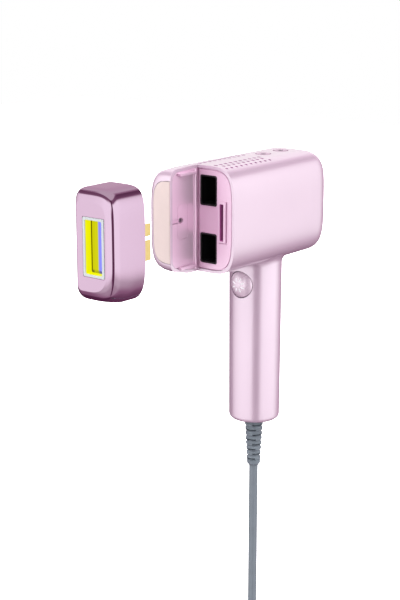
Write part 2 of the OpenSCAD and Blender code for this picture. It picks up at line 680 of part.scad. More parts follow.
module stadium(grow) {
    for (z = [hank_axis_z, hank_low_z]) translate([-fold_r, z]) circle(fold_r + grow);
    translate([-2 * fold_r - grow, hank_low_z]) square([2 * (fold_r + grow), run_length]);
}
module cord_hank() color(grey) along_y(-cord_r, tail_y + cord_r) stadium(cord_r);

module hank_tie() color([0.1, 0.1, 0.1]) difference() {
    along_z(tie_top - tie_h, tie_top)
        polygon(soft_box(-2 * fold_r - cord_r - 1.2, cord_r + 1.2, -cord_r - 1.2, tail_y + cord_r + 1.2, 2, 2));
    box([-2 * fold_r - cord_r - gap, -cord_r - gap, tie_top - tie_h - cut],
        [cord_r + gap, tail_y + cord_r + gap, tie_top + cut]);
}

module adapter_relief() color([0.1, 0.1, 0.1]) translate([0, tail_y, 0]) difference() {
    rotate_extrude()
        polygon([[0, adapter_top], [5.2, adapter_top], [5.0, adapter_top + 3], [3.5, tail_end], [0, tail_end]]);
    for (i = [0 : 2]) box([-8, -8, adapter_top + 4 + 3.2 * i], [8, -2, adapter_top + 5.2 + 3.2 * i]);
}
module adapter_case() color([0.1, 0.1, 0.1]) translate([0, tail_y, 0]) difference() {
    along_z(adapter_top - 45, adapter_top) polygon(soft_box(-15, 15, -12, 12, 3, 3));
    for (x = [-9.3, 9.3]) peg([x, 8, adapter_top - 25], 1.6, 8, "y");
}
module adapter_pins() color(steel) translate([0, tail_y, adapter_top - 25]) for (x = [-9.3, 9.3]) {
    peg([x, 8, 0], 1.6, 5, "y");
    peg([x, 12, 0], 2, 18, "y");
    translate([x, 30, 0]) intersection() {
        sphere(2);
        peg([0, -0.1, 0], 2, 3, "y");
    }
}

head_shell();
handle_shell();
handle_end_cap();
neck_collar();
bay_wall();
bay_frame();
cooling_plate();
plate_gasket();
cooler_module();
heat_sink();
air_duct();
fan_housing();
fan_screws();
fan_rotor();
vent_screen();
socket_housing();
socket_contacts();
main_board();
charge_transformer();
trigger_coil();
flash_capacitor();
capacitor_cradle();
button_board();
button_switches();
mode_button();
level_button();
trigger_board();
trigger_switch();
trigger_spring();
trigger_button();
trigger_light_guide();
board_screws();
internal_wires();
cord_clamp();
strain_relief();
cartridge_shell();
cartridge_back();
window_bezel();
light_guide();
filter_glass();
lamp_reflector();
flash_tube();
tube_holders();
tube_electrodes();
ignition_wire();
lamp_leads();
contact_tabs();
tab_carrier();
cartridge_screws();
detent_pin();
detent_spring();
cord_tube();
cord_hank();
hank_tie();
cord_tail();
adapter_relief();
adapter_case();
adapter_pins();
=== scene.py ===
"""Looks for the hand-held light hair remover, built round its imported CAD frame."""
import bpy
import bmesh
import json
import math
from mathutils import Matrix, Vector


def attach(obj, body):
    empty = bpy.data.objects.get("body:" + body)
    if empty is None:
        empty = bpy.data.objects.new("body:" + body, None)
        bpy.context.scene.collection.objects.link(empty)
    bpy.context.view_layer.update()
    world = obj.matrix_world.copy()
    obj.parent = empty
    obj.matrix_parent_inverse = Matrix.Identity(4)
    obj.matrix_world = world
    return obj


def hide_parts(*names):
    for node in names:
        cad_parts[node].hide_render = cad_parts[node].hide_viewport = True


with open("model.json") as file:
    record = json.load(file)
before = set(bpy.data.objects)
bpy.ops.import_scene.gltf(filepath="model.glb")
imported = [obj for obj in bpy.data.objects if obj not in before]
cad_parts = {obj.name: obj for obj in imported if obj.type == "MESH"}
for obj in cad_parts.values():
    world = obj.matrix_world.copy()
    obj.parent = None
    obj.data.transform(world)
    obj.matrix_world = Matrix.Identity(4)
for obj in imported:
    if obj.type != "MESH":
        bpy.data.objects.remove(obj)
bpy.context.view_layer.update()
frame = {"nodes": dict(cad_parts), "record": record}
NODES = frame["nodes"]
MM = 0.001

# ---------- the part's main sizes, millimetres, in the frame ----------
HEAD_Z = 89.3
HALF_W, HALF_H = 23.75, 33.8
FRONT_Y, RIM_Y, REAR_Y = -80.7, -54.7, 53.4
BAY_X = -5.3
SQUARE = 4.4
CORD_R = 3.05
FOLD_R = 18.5
PITCH = 6.3
TURNS = 4
HANK_TOP_Z, HANK_LOW_Z = -230.5, -327.5
DRAW = -83.1
HEAD_TOP = HEAD_Z + HALF_H
BUTTON_Y = {"mode_button": 7.2, "level_button": 26.5}
TRIGGER_Z = 40
CATCH_Y, CATCH_Z = -69.9, HEAD_Z + 0.85
RAILS = (-30.1, 28.7)
FLOOR_Z = -0.44
SHARP_ANGLE = math.radians(32)


# ---------- camera ----------
def camera():
    data = bpy.data.cameras.new("camera")
    data.lens = 82.36
    data.sensor_width = 36
    data.sensor_fit = "AUTO"
    data.clip_end = 50
    ob = bpy.data.objects.new("camera", data)
    ob.location = (0.52340, -0.71173, 0.25518)
    ob.rotation_euler = (math.radians(75.457), 0, math.radians(38.708))
    bpy.context.collection.objects.link(ob)
    bpy.context.scene.camera = ob


camera()


# ---------- materials ----------
def rgb(code):
    """sRGB hex to linear RGBA."""
    out = []
    for i in (0, 2, 4):
        c = int(code[i:i + 2], 16) / 255
        out.append(c / 12.92 if c <= 0.04045 else ((c + 0.055) / 1.055) ** 2.4)
    return (*out, 1)


def set_stops(node, stops):
    """Fills a colour ramp from (place, RGBA) pairs."""
    ramp = node.color_ramp
    while len(ramp.elements) < len(stops):
        ramp.elements.new(0.5)
    for element, (at, colour) in zip(ramp.elements, stops):
        element.position = at
        element.color = colour


class Finish:
    """A node material: mottled base colour, roughness variation and fine bump."""

    def __init__(self, name, base, rough=0.4, metal=0.0, coat=0.0, shade=0.06, mottle=0.02,
                 grain=0.0004, bump=0.05, rough_span=0.05, clear=0.0, ior=1.5):
        self.mat = bpy.data.materials.new(name)
        self.mat.use_nodes = True
        self.tree = self.mat.node_tree
        self.shader = self.tree.nodes["Principled BSDF"]
        s = self.shader.inputs
        s["Metallic"].default_value = metal
        s["Coat Weight"].default_value = coat
        s["Coat Roughness"].default_value = 0.08
        s["Transmission Weight"].default_value = clear
        s["IOR"].default_value = ior
        self.coord = self.tree.nodes.new("ShaderNodeTexCoord").outputs["Object"]
        cloud = self.noise(mottle, 3)
        self.base = self.ramp(cloud, [(0.3, tuple(c * (1 - shade) for c in base[:3]) + (1,)), (0.7, base)])
        self.link(self.base, s["Base Color"])
        span = self.tree.nodes.new("ShaderNodeMapRange")
        span.inputs["To Min"].default_value = max(0.02, rough - rough_span)
        span.inputs["To Max"].default_value = rough + rough_span
        self.link(self.noise(mottle * 0.35, 4), span.inputs["Value"])
        self.link(span.outputs["Result"], s["Roughness"])
        if bump:
            self.relief(self.noise(grain, 2), bump, grain * 0.2)

    def link(self, a, b):
        self.tree.links.new(a, b)

    def glow(self, colour, strength):
        """Adds a little light of its own, which keeps a strong colour pure."""
        self.shader.inputs["Emission Color"].default_value = colour
        self.shader.inputs["Emission Strength"].default_value = strength
        return self.mat

    def noise(self, size, detail):
        n = self.tree.nodes.new("ShaderNodeTexNoise")
        n.inputs["Scale"].default_value = 1 / size
        n.inputs["Detail"].default_value = detail
        self.link(self.coord, n.inputs["Vector"])
        return n.outputs["Fac"]

    def ramp(self, value, stops):
        r = self.tree.nodes.new("ShaderNodeValToRGB")
        set_stops(r, stops)
        self.link(value, r.inputs["Fac"])
        return r.outputs["Color"]

    def relief(self, height, strength, distance):
        b = self.tree.nodes.new("ShaderNodeBump")
        b.inputs["Strength"].default_value = strength
        b.inputs["Distance"].default_value = distance
        self.link(height, b.inputs["Height"])
        old = self.shader.inputs["Normal"]
        if old.is_linked:
            self.link(old.links[0].from_socket, b.inputs["Normal"])
        self.link(b.outputs["Normal"], old)


def flakes(finish, size, strength):
    """Tiny tilted flakes, as in pearl paint."""
    v = finish.tree.nodes.new("ShaderNodeTexVoronoi")
    v.inputs["Scale"].default_value = 1 / size
    finish.link(finish.coord, v.inputs["Vector"])
    finish.relief(v.outputs["Distance"], strength, size * 0.25)


def glowing_filter_glass():
    """Dichroic filter, lit by a painted glow of its own: olive at one side, pale violet-blue at the other,
    with painted shade making it darker along its bottom edge.
    """
    glass = Finish("filter_glass", rgb("1E1E10"), rough=0.2, shade=0.05, bump=0.02, ior=1.3)
    place = glass.tree.nodes.new("ShaderNodeSeparateXYZ")
    glass.link(glass.coord, place.inputs[0])

    def along(axis, low, high):
        span = glass.tree.nodes.new("ShaderNodeMapRange")
        span.inputs["From Min"].default_value = low
        span.inputs["From Max"].default_value = high
        glass.link(place.outputs[axis], span.inputs["Value"])
        return span.outputs["Result"]
    across = along(0, 0.0, 0.0184)
    tint = glass.ramp(across, [
        (0.0, rgb("4A4400")), (0.188, rgb("4A4400")), (0.205, rgb("CBC900")), (0.44, rgb("D2D000")),
        (0.462, rgb("8A8AFF")), (1.0, rgb("8686FF"))])
    # Painted shade: the glow is darker along the glass's bottom edge.
    painted_foot_shade = glass.ramp(across, [
        (0.0, rgb("4A4400")), (0.24, rgb("6E6A18")), (0.3, rgb("B8B800")), (0.44, rgb("A0A210")),
        (0.52, rgb("4C4890")), (1.0, rgb("3A30C0"))])
    mix = glass.tree.nodes.new("ShaderNodeMix")
    mix.data_type = "RGBA"
    glass.link(along(2, 0.0764, 0.0774), mix.inputs[0])
    glass.link(painted_foot_shade, mix.inputs[6])
    glass.link(tint, mix.inputs[7])
    # Painted light: the filter's colours are given as a glow of its own, though it is no lamp.
    glass.link(mix.outputs[2], glass.shader.inputs["Emission Color"])
    glass.shader.inputs["Emission Strength"].default_value = 1.0
    return glass.mat


M = {}


def finish(name, code, **looks):
    """Plain finish from an sRGB hex colour, kept under its name."""
    M[name] = Finish(name, rgb(code), **looks).mat


pearl = Finish("shell_pink", rgb("D8C2D3"), rough=0.3, metal=0.55, coat=1.0, shade=0.02, mottle=0.03, bump=0)
flakes(pearl, 0.00022, 0.08)
M["shell_pink"] = pearl.mat
finish("bay_pink", "E8C6DD", rough=0.34, metal=0.54, shade=0.02, grain=0.0003, bump=0.02, rough_span=0.02)
satin = Finish("button_pink", rgb("E0CCDB"), rough=0.27, metal=0.35, coat=0.6, shade=0.02, bump=0)
flakes(satin, 0.0002, 0.06)
M["button_pink"] = satin.mat
# Painted shade: a darker copy of the button finish, for the top buttons.
finish("button_pink_shaded", "B79BAE", rough=0.3, metal=0.4, coat=0.3, shade=0.05, mottle=0.003, bump=0.05)
plated = Finish("plated_pink", rgb("BFA3B9"), rough=0.09, metal=1.0, shade=0.02, bump=0, rough_span=0.02)
flakes(plated, 0.0002, 0.04)
plated.shader.inputs["Specular Tint"].default_value = (0.8, 0.62, 0.74, 1)
M["plated_pink"] = plated.mat
finish("cold_plate", "DDCBC8", rough=0.45, metal=0.45, shade=0.05, mottle=0.012, grain=0.00025, bump=0.25)
finish("seal_rubber", "1A1A1A", rough=0.8, bump=0.3)
finish("white_ceramic", "EDEDE6", rough=0.6, bump=0.2)
finish("aluminium_fins", "C8CACD", rough=0.35, metal=1.0, bump=0.15)
finish("black_plastic", "0B0B0C", rough=0.38, shade=0.3, bump=0.15)
# Painted shade: the screen's mauve is the shade seen down the vent holes.
finish("screen_mesh", "A06E94", rough=0.8, shade=0.15, mottle=0.0012, bump=0.4)
finish("socket_plastic", "B0609A", rough=0.6, shade=0.15, bump=0.2)
finish("contact_gold", "D9BF7C", rough=0.3, metal=0.6, shade=0.1, mottle=0.004, bump=0.1)
finish("circuit_board", "14542E", rough=0.35, shade=0.3, mottle=0.003, bump=0.2)
finish("ferrite", "2A2A2D", rough=0.75, bump=0.4)
finish("copper_winding", "A8572C", rough=0.35, metal=0.8, bump=0.4)
finish("capacitor_sleeve", "1B1B45", rough=0.25, coat=0.4, bump=0.05)
finish("screw_steel", "BDBDC2", rough=0.3, metal=1.0, shade=0.15, mottle=0.004, bump=0.1)
finish("clear_guide", "F7F4FA", rough=0.25, coat=0.3, shade=0.04, bump=0.03)
finish("wire_insulation", "B8231C", rough=0.4, bump=0.1)
finish("relief_grey", "6E7780", rough=0.55, shade=0.2, mottle=0.004, bump=0.35)
finish("cord_grey", "6C747C", rough=0.45, shade=0.08, mottle=0.006, bump=0.12)
finish("tie_strap", "161618", rough=0.9, shade=0.5, mottle=0.0015, grain=0.0005, bump=0.9)
finish("adapter_black", "121214", rough=0.5, shade=0.2, grain=0.0005, bump=0.45)
finish("mark_ink", "3E4744", rough=0.9, ior=1.12, shade=0.15, mottle=0.002, bump=0.1)
finish("pin_nickel", "C9C9C6", rough=0.22, metal=1.0, shade=0.1, mottle=0.004, bump=0.05)
finish("white_frame", "BAC0C2", rough=0.35, coat=0.1, shade=0.03, bump=0.02)
# Painted light: the yellow walls glow with light of their own, though they are no lamp.
glowing_coating = Finish("yellow_coating", rgb("686800"), rough=0.35, shade=0.03, bump=0.03)
M["yellow_coating"] = glowing_coating.glow(rgb("FFFF00"), 0.74)
M["filter_glass"] = glowing_filter_glass()
finish("reflector_gold", "E8C878", rough=0.12, metal=1.0, bump=0.03)
finish("quartz", "E8F0F8", rough=0.05, clear=0.95, bump=0.02)

slot_of = {s["node"]: s["material_slot"] for s in frame["record"]["subparts"]}


# ---------- CAD nodes that stay: rounded edges and a node material ----------
def angle_smoothing():
    """Node group that shades a mesh smooth and keeps its sharp edges."""
    group = bpy.data.node_groups.new("smooth_by_angle", "GeometryNodeTree")
    group.interface.new_socket("Geometry", in_out="INPUT", socket_type="NodeSocketGeometry")
    group.interface.new_socket("Geometry", in_out="OUTPUT", socket_type="NodeSocketGeometry")
    new, link = group.nodes.new, group.links.new
    faces, edges = new("GeometryNodeSetShadeSmooth"), new("GeometryNodeSetShadeSmooth")
    edges.domain = "EDGE"
    edges.inputs["Shade Smooth"].default_value = False
    sharp = new("FunctionNodeCompare")
    sharp.inputs[1].default_value = SHARP_ANGLE
    link(new("GeometryNodeInputMeshEdgeAngle").outputs[0], sharp.inputs[0])
    link(sharp.outputs[0], edges.inputs["Selection"])
    link(new("NodeGroupInput").outputs[0], faces.inputs[0])
    link(faces.outputs[0], edges.inputs[0])
    link(edges.outputs[0], new("NodeGroupOutput").inputs[0])
    return group


SMOOTHING = angle_smoothing()


def soften(ob, width):
    """Welds, rounds and smooths a mesh's hard edges with modifiers."""
    weld = ob.modifiers.new("weld", "WELD")
    weld.merge_threshold = 0.00001
    if width:
        bev = ob.modifiers.new("round", "BEVEL")
        bev.width = width * MM
        bev.segments = 2
        bev.limit_method = "ANGLE"
        bev.angle_limit = SHARP_ANGLE
    shade = ob.modifiers.new("shade", "NODES")
    shade.node_group = SMOOTHING
    weigh = ob.modifiers.new("normals", "WEIGHTED_NORMAL")
    weigh.keep_sharp = True


def dress(node, width):
    ob = NODES[node]
    ob.data.materials.clear()
    ob.data.materials.append(M[slot_of[node]])
    soften(ob, width)


# Width of the rounding on each node that has one.
ROUNDED = {"adapter_case": 0.8, "adapter_relief": 0.25, "adapter_pins": 0.3, "hank_tie": 0.35,
           "cooling_plate": 0.2, "contact_tabs": 0.12, "cartridge_back": 0.2, "tab_carrier": 0.2,
           "handle_end_cap": 0.2, "neck_collar": 0.15, "cartridge_screws": 0.08, "fan_housing": 0.2,
           "air_duct": 0.2, "socket_housing": 0.15}
for node_name in NODES:
    dress(node_name, ROUNDED.get(node_name, 0))


# ---------- the shells as smooth forms ----------
def clip01(v):
    return max(0.0, min(1.0, v))


def ease(v):
    v = clip01(v)
    return v * v * (3 - 2 * v)


def corner(depth, run, inset):
    """Inset of a rounded end at some depth behind it: a quarter ellipse, run deep and inset wide."""
    u = clip01(1 - depth / run)
    return inset * (1 - math.sqrt(max(0.0, 1 - u * u)))


def table(depth, pairs):
    """Inset at a depth, from (depth, inset) pairs."""
    for (d0, i0), (d1, i1) in zip(pairs, pairs[1:]):
        if depth <= d1:
            return i0 + (i1 - i0) * (depth - d0) / (d1 - d0)
    return pairs[-1][1]


def head_section(y):
    """Half sizes (near, far, top, low) of the head's section at y."""
    front, back = y - FRONT_Y, REAR_Y - y
    near = HALF_W - corner(back, 14, 14)
    far = HALF_W - corner(back, 14, 14) - 0.5 * ease((20 - front) / 18) - corner(front, 4.2, 4.4)
    top = HALF_H - corner(back, 17, 17.5) - 0.7 * ease((20 - front) / 18) - corner(front, 5, 6.3)
    low = HALF_H - corner(back, 17, 11) - 3.2 * ease((19 - front) / 17) - corner(front, 4.5, 5.2)
    return near, far, top, low


CART_FRONT, CART_REAR = -165.0, -138.0
# Rounding of the cartridge's front at its side, top and underside: (depth, inset).
PAD_SIDE = [(0, 5.4), (0.1, 4.7), (0.45, 2.8), (0.8, 1.8), (1.7, 0.72), (2.5, 0.28), (3.7, 0.06), (5, 0)]
PAD_TOP = [(0, 7.2), (0.12, 6.5), (0.45, 5.1), (1.0, 3.4), (1.7, 2.1), (2.7, 1.1), (4.2, 0.4),
           (6, 0.1), (8, 0)]
PAD_LOW = [(0, 6.2), (0.35, 5.3), (1.2, 3.6), (2.1, 2.3), (3.4, 1.1), (5.2, 0.4), (7, 0)]


def cartridge_section(y):
    depth = y - CART_FRONT
    near = HALF_W + 0.2 - table(depth, PAD_SIDE)
    top = HALF_H + 0.7 - table(depth, PAD_TOP)
    low = HALF_H - 0.5 - 3.0 * ease((19 - depth) / 17) - table(depth, PAD_LOW)
    return near, near, top, low


def spow(v, e):
    return math.copysign(abs(v) ** e, v)


def oval_point(t, sizes, top_square, low_square):
    near, far, top, low = sizes
    c, s = math.cos(t), math.sin(t)
    e = 2 / (top_square if s >= 0 else low_square)
    return spow(c, e) * (near if c >= 0 else far), spow(s, e) * (top if s >= 0 else low)


def even_angles(count, square):
    """Angles that put points evenly round a superellipse of the head's proportions."""
    fine = [i * 2 * math.pi / 3600 for i in range(3601)]
    pts = [oval_point(t, (HALF_W, HALF_W, HALF_H, HALF_H), square, square) for t in fine]
    run = [0.0]
    for a, b in zip(pts, pts[1:]):
        run.append(run[-1] + math.dist(a, b))
    out, k = [], 0
    for i in range(count):
        goal = run[-1] * i / count
        while run[k + 1] < goal:
            k += 1
        out.append(fine[k])
    return out


def link_mesh(name, verts, faces):
    mesh = bpy.data.meshes.new(name)
    mesh.from_pydata([Vector(v) * MM for v in verts], [], faces)
    mesh.validate()
    ob = bpy.data.objects.new(name, mesh)
    bpy.context.collection.objects.link(ob)
    return ob


def loft(name, rings):
    """Closed solid through rings of equal point count, the ends filled with flat faces."""
    n = len(rings[0])
    verts = [p for ring in rings for p in ring]
    faces = []
    for r in range(len(rings) - 1):
        for i in range(n):
            j = (i + 1) % n
            faces.append((r * n + i, r * n + j, (r + 1) * n + j, (r + 1) * n + i))
    faces.append(tuple(range(n))[::-1])
    faces.append(tuple(range((len(rings) - 1) * n, len(rings) * n)))
    ob = link_mesh(name, verts, faces)
    tidy_normals(ob.data)
    return ob


def tidy_normals(mesh):
    bm = bmesh.new()
    bm.from_mesh(mesh)
    bmesh.ops.remove_doubles(bm, verts=bm.verts, dist=1e-7)
    bmesh.ops.recalc_face_normals(bm, faces=bm.faces)
    bm.to_mesh(mesh)
    bm.free()


def spaced(lo, hi, fine_lo, fine_hi, step):
    """Stations from lo to hi, close together near each end."""
    out = [lo + fine_lo * (1 - math.cos(i * math.pi / 2 / 14)) for i in range(15)] if fine_lo else [lo]
    last = hi - fine_hi
    count = max(1, round((last - out[-1]) / step))
    out += [out[-1] + (last - out[-1]) * i / count for i in range(1, count + 1)]
    if fine_hi:
        out += [hi - fine_hi * (1 - math.sin(i * math.pi / 2 / 16)) for i in range(1, 17)]
    return out


def head_form(name, inset):
    angles = even_angles(176, SQUARE)
    rings = []
    for y in spaced(FRONT_Y, REAR_Y, 8, 18, 4):
        sizes = [v - inset for v in head_section(y)]
        shift = y
        if inset:
            mid = (FRONT_Y + REAR_Y) / 2
            shift = mid + (y - mid) * ((REAR_Y - FRONT_Y) / 2 - inset) / ((REAR_Y - FRONT_Y) / 2)
        rings.append([(x, shift, z + HEAD_Z) for x, z in
                      (oval_point(t, sizes, SQUARE, SQUARE) for t in angles)])
    return loft(name, rings)


def cartridge_ring(y, inset, side):
    """The cartridge's outline at y: the oval's near part, closed by the flat side with rounded corners."""
    depth = y - CART_FRONT
    sizes = [v - inset for v in cartridge_section(y)]
    flat = side + table(depth, [(0, 1.3), (0.15, 0.8), (0.5, 0.3), (1.3, 0)])
    turn = 3.0
    pts = []
    for t in even_angles(240, 5):
        x, z = oval_point(t, sizes, 6.0, 4.0)
        if x > flat + turn:
            pts.append((x, z))
    split = next(i for i in range(len(pts)) if pts[i][1] < 0)
    upper, lower = pts[:split], pts[split:]
    top_z, low_z = upper[-1][1], lower[0][1]
    arc_top = [(flat + turn - turn * math.sin(a), top_z - turn + turn * math.cos(a))
               for a in (i * math.pi / 16 for i in range(1, 9))]
    arc_low = [(flat + turn - turn * math.cos(a), low_z + turn - turn * math.sin(a))
               for a in (i * math.pi / 16 for i in range(0, 8))]
    line = [(flat, top_z - turn + (low_z + turn - top_z + turn) * i / 12) for i in range(1, 12)]
    outline = upper + arc_top + line + arc_low + lower
    run = [0.0]
    closed = outline + [outline[0]]
    for a, b in zip(closed, closed[1:]):
        run.append(run[-1] + math.dist(a, b))
    out, k, count = [], 0, 200
    for i in range(count):
        goal = run[-1] * i / count
        while run[k + 1] < goal:
            k += 1
        part = (goal - run[k]) / max(run[k + 1] - run[k], 1e-9)
        a, b = closed[k], closed[k + 1]
        out.append((a[0] + (b[0] - a[0]) * part, y, a[1] + (b[1] - a[1]) * part + HEAD_Z))
    return out


def cartridge_form(name, inset, side, front, rear):
    stops = [0, 0.05, 0.12, 0.25, 0.4, 0.55, 0.7, 0.85, 1.0, 1.2, 1.45, 1.8, 2.2, 2.8, 3.5, 4.4, 5.4, 6.5, 8,
             10, 12, 14, 16, 18, 20, 22, 24, 27]
    rings = []
    for s in stops:
        y = front + (rear - front) * s / 27
        rings.append([(x, y, z) for x, _, z in cartridge_ring(CART_FRONT + s, inset, side)])
    return loft(name, rings)


def band(name, rings):
    """Closed solid through rings of equal point count, its last ring joined to its first."""
    n = len(rings[0])
    faces = []
    for r in range(len(rings)):
        s = (r + 1) % len(rings)
        for i in range(n):
            j = (i + 1) % n
            faces.append((r * n + i, r * n + j, s * n + j, s * n + i))
    return link_mesh(name, [p for ring in rings for p in ring], faces)


def prism(name, outline, axis, lo, hi):
    """Solid with a flat outline, along one axis. The outline is (x, z) on y, (x, y) on z, (y, z) on x."""
    def place(p, q, h):
        return {"x": (h, p, q), "y": (p, h, q), "z": (p, q, h)}[axis]
    return loft(name, [[place(p, q, lo) for p, q in outline], [place(p, q, hi) for p, q in outline]])


def rounded(x0, x1, y0, y1, r, steps=5):
    out = []
    corners = ((x1 - r, y1 - r, 0), (x0 + r, y1 - r, 90), (x0 + r, y0 + r, 180), (x1 - r, y0 + r, 270))
    for cx, cy, start in corners:
        out += [(cx + r * math.cos(math.radians(start + 90 * i / steps)),
                 cy + r * math.sin(math.radians(start + 90 * i / steps))) for i in range(steps + 1)]
    return out


def disc(x, y, r, count=24):
    return [(x + r * math.cos(2 * math.pi * i / count), y + r * math.sin(2 * math.pi * i / count))
            for i in range(count)]


def joined(name, parts):
    """One mesh object from several, which are removed."""
    bm = bmesh.new()
    for part in parts:
        bm.from_mesh(part.data)
        bpy.data.objects.remove(part)
    mesh = bpy.data.meshes.new(name)
    bm.to_mesh(mesh)
    bm.free()
    ob = bpy.data.objects.new(name, mesh)
    bpy.context.collection.objects.link(ob)
    return ob


def settle(ob):
    """Applies the modifiers on an object's mesh."""
    graph = bpy.context.evaluated_depsgraph_get()
    mesh = bpy.data.meshes.new_from_object(ob.evaluated_get(graph))
    ob.modifiers.clear()
    ob.data = mesh
    return ob


def carve(ob, cutters, join=(), keep=()):
    """Keeps an object's part inside some solids, then adds others to it, then cuts others out."""
    for kind, tools in (("INTERSECT", keep), ("UNION", join), ("DIFFERENCE", cutters)):
        for tool in tools:
            cut = ob.modifiers.new("cut", "BOOLEAN")
            cut.operation = kind
            cut.solver = "EXACT"
            cut.object = tool
    settle(ob)
    for tool in (*cutters, *join, *keep):
        bpy.data.objects.remove(tool)
    return ob


def finish_piece(ob, body, slot, width=0.25, segments=3, stands_for=(), look=None):
    """Rounds a new piece's hard edges, smooths it, gives it its body and finish, and hides the CAD nodes it
    stands for.
    """
    bm = bmesh.new()
    bm.from_mesh(ob.data)
    bmesh.ops.remove_doubles(bm, verts=bm.verts, dist=2e-6)
    bm.to_mesh(ob.data)
    bm.free()
    if width:
        bev = ob.modifiers.new("round", "BEVEL")
        bev.width = width * MM
        bev.segments = segments
        bev.limit_method = "ANGLE"
        bev.angle_limit = math.radians(35)
        bev.use_clamp_overlap = True
        settle(ob)
    smooth(ob.data)
    weigh = ob.modifiers.new("normals", "WEIGHTED_NORMAL")
    weigh.keep_sharp = True
    ob.data.materials.clear()
    ob.data.materials.append(M[look or slot])
    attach(ob, body)
    if stands_for:
        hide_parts(*stands_for)
    return ob


def smooth(mesh):
    """Shades a mesh smooth except at edges over 40 degrees."""
    bm = bmesh.new()
    bm.from_mesh(mesh)
    for face in bm.faces:
        face.smooth = True
    for edge in bm.edges:
        edge.smooth = not (len(edge.link_faces) == 2 and edge.calc_face_angle(0) > math.radians(40))
    bm.to_mesh(mesh)
    bm.free()


# Vent holes: place across, place along, radius. The outer rows are smaller.
VENTS = [(side * (6.3 + 4.25 * row), -50.9 + 4.98 * (i + (0.5 if row == 1 else 0)), (1.4, 1.27, 1.02)[row])
         for side in (-1, 1) for row in range(3) for i in range(9 if row == 1 else 10)]


def roof(x):
    """Height of the head's top over a place across it."""
    return HEAD_Z + HALF_H * (1 - abs(x / HALF_W) ** SQUARE) ** (1 / SQUARE)


def make_head():
    shell = head_form("head_outer", 0)
    ahead, beside = -100, 60
    sizes = (19.25, 19.25, 25.95, 25.95)
    plate = [(x, z) for x, z in (oval_point(t, sizes, 5, 5) for t in even_angles(120, 5)) if x < -5.6]
    plate = [(x, z + HEAD_Z + 0.6) for x, z in plate]
    plate.sort(key=lambda p: math.atan2(p[1] - HEAD_Z, p[0] + 5.0) % (2 * math.pi))
    plate = [(-5.5, plate[0][1])] + plate + [(-5.5, plate[-1][1])]
    vents = [prism("vent", disc(x, y, r, 20), "z", HEAD_Z + 25, HEAD_Z + 40) for x, y, r in VENTS]
    for y in BUTTON_Y.values():
        vents.append(prism("button_hole", disc(0, y, 5.25, 48), "z", HEAD_Z + 25, HEAD_Z + 40))
    cutters = [
        head_form("head_inner", 1.8),
        prism("bay", [(BAY_X, ahead), (beside, ahead), (beside, RIM_Y), (BAY_X, RIM_Y)], "z", 0, 200),
        prism("plate_hole", plate, "y", FRONT_Y - 5, FRONT_Y + 1.6),
        joined("vents", vents)]
    carve(shell, cutters)
    shell.name = "head_shell.smooth"
    finish_piece(shell, "handset", "shell_pink", width=0.3, stands_for=("head_shell",))


make_head()


def dark_gap_ring(y, outer, inner, low, high):
    """Plain ring standing round a button's axis at y, used as a dark lining that paints the shade in the gap
    round a top button.
    """
    corners = ((outer, low), (outer, high), (inner, high), (inner, low))
    return band("ring", [[(p, q, z) for p, q in disc(0, y, r, 64)] for r, z in corners])


def make_vent_screen_and_shade_sleeves():
    """Fine mesh under the vents, with a short sleeve lining each hole; mesh and sleeves are dark mauve,
    painted shade for the holes.
    """
    parts = []
    # Each sleeve is a dark lining that paints the shade down its hole.
    for x, y, hole in VENTS:
        outer, inner = hole - 0.03, hole - 0.12
        corners = ((outer, 1.9), (outer, 0.05), (inner, 0.07), (inner, 1.9))
        parts.append(band("sleeve", [[(p, q, roof(p) - drop) for p, q in disc(x, y, r, 20)]
                                     for r, drop in corners]))
    # Painted shade: a dark ring in the gap round each top button.
    for y in BUTTON_Y.values():
        parts.append(dark_gap_ring(y, 5.2, 5.0, HEAD_TOP - 1.7, HEAD_TOP - 0.07))
    strip = [(x, roof(x) - 1.9) for x in range(-17, 18)]
    parts.append(prism("mesh", strip + [(x, z - 0.5) for x, z in reversed(strip)], "y", -53, -2.2))
    screen = joined("vent_screen.smooth", parts)
    tidy_normals(screen.data)
    finish_piece(screen, "handset", "screen_mesh", width=0, stands_for=("vent_screen",))


make_vent_screen_and_shade_sleeves()


def bar(x0, x1, y0, y1, z0, z1):
    """Box with its heights given from the head's middle."""
    return prism("bar", [(x0, y0), (x1, y0), (x1, y1), (x0, y1)], "z", HEAD_Z + z0, HEAD_Z + z1)


